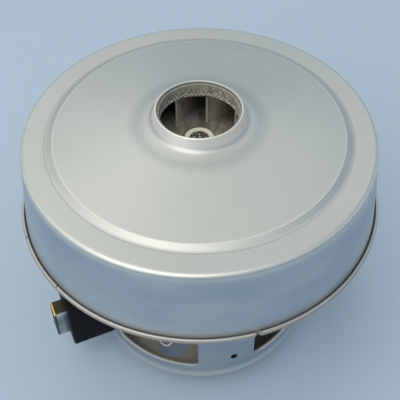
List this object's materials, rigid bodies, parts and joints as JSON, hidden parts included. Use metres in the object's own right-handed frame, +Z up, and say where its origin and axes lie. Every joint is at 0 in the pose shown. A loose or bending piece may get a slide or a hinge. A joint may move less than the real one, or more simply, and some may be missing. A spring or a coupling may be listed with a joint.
{
  "type": "vacuum motor unit",
  "caption": "Vacuum cleaner motor unit: domed metal fan cover with a round air inlet over a windowed motor cup with brush holders at its sides.",
  "frame": {"origin": "centre of the underside of the lower bearing boss, on the shaft's axis", "axes": "+Z up along the shaft to the air inlet, +X through the right brush holder, +Y to the back"},
  "size_m": [0.135, 0.135, 0.1135],
  "materials": {
    "cover_metal": "satin",
    "housing_metal": "satin",
    "lining_felt": "matte",
    "dark_plastic": "matte",
    "screw_steel": "satin",
    "bracket_metal": "satin",
    "impeller_metal": "satin",
    "hub_metal": "satin",
    "shaft_steel": "satin",
    "bearing_steel": "polished",
    "cage_brass": "satin",
    "core_steel": "satin",
    "fibre": "matte",
    "copper_wire": "gloss",
    "commutator_copper": "satin",
    "moulding": "matte",
    "block_plastic": "matte",
    "brush_brass": "satin",
    "carbon": "matte",
    "spring_steel": "satin",
    "white_sleeve": "matte"
  },
  "bodies": {
    "housing": {"fan_cover": "cover_metal", "housing_tray": "housing_metal", "cup_wall": "housing_metal", "cup_posts": "housing_metal", "cup_sill": "housing_metal", "cup_floor": "housing_metal", "bearing_cup": "housing_metal", "inlet_lining": "lining_felt", "diffuser": "dark_plastic", "diffuser_screws": "screw_steel", "bracket_screws": "screw_steel", "bracket_nuts": "screw_steel", "stator_screws": "screw_steel", "block_screws": "screw_steel", "upper_bracket": "bracket_metal", "wave_washer": "shaft_steel", "upper_bearing_outer_ring": "bearing_steel", "upper_bearing_shields": "bearing_steel", "lower_bearing_outer_ring": "bearing_steel", "lower_bearing_shields": "bearing_steel", "stator_core": "core_steel", "field_insulators": "fibre", "field_coil_front": "copper_wire", "field_coil_rear": "copper_wire", "brush_shunt_left": "commutator_copper", "brush_shunt_right": "commutator_copper", "brush_block_left": "block_plastic", "brush_block_right": "block_plastic", "brush_tube_left": "brush_brass", "brush_tube_right": "brush_brass", "brush_cap_left": "brush_brass", "brush_cap_right": "brush_brass", "supply_tabs": "brush_brass", "brush_spring_left": "spring_steel", "brush_spring_right": "spring_steel", "field_lead_left": "white_sleeve", "field_lead_right": "white_sleeve"},
    "rotor": {"impeller_back_plate": "impeller_metal", "impeller_blades": "impeller_metal", "impeller_front_plate": "impeller_metal", "impeller_spacer": "hub_metal", "hub_bush": "hub_metal", "impeller_nut": "hub_metal", "shaft": "shaft_steel", "slinger": "moulding", "upper_bearing_inner_ring": "bearing_steel", "lower_bearing_inner_ring": "bearing_steel", "rotor_core": "core_steel", "rotor_end_plates": "fibre", "rotor_winding": "copper_wire", "slot_wedges": "fibre", "commutator_hub": "moulding", "commutator_bars": "commutator_copper"},
    "upper_cage": {"upper_bearing_balls": "bearing_steel", "upper_bearing_cage": "cage_brass"},
    "lower_cage": {"lower_bearing_balls": "bearing_steel", "lower_bearing_cage": "cage_brass"},
    "brush_left": {"carbon_brush_left": "carbon"},
    "brush_right": {"carbon_brush_right": "carbon"}
  },
  "joints": [
    {"name": "rotor_spin", "type": "hinge", "parent": "housing", "child": "rotor", "pos_m": [0, 0, 0.05], "axis": [0, 0, 1], "continuous": true},
    {"name": "upper_cage_spin", "type": "hinge", "parent": "housing", "child": "upper_cage", "pos_m": [0, 0, 0.0727], "axis": [0, 0, 1], "continuous": true},
    {"name": "lower_cage_spin", "type": "hinge", "parent": "housing", "child": "lower_cage", "pos_m": [0, 0, 0.0053], "axis": [0, 0, 1], "continuous": true},
    {"name": "brush_left_slide", "type": "slide", "parent": "housing", "child": "brush_left", "axis": [-1, 0, 0], "range_m": [0, 0.006], "stiffness_N_per_m": 150, "deforming": ["brush_spring_left", "brush_shunt_left"]},
    {"name": "brush_right_slide", "type": "slide", "parent": "housing", "child": "brush_right", "axis": [1, 0, 0], "range_m": [0, 0.006], "stiffness_N_per_m": 150, "deforming": ["brush_spring_right", "brush_shunt_right"]}
  ],
  "couplings": [
    {"joint": "upper_cage_spin", "follows": "rotor_spin", "ratio": 0.36767},
    {"joint": "lower_cage_spin", "follows": "rotor_spin", "ratio": 0.36767}
  ]
}
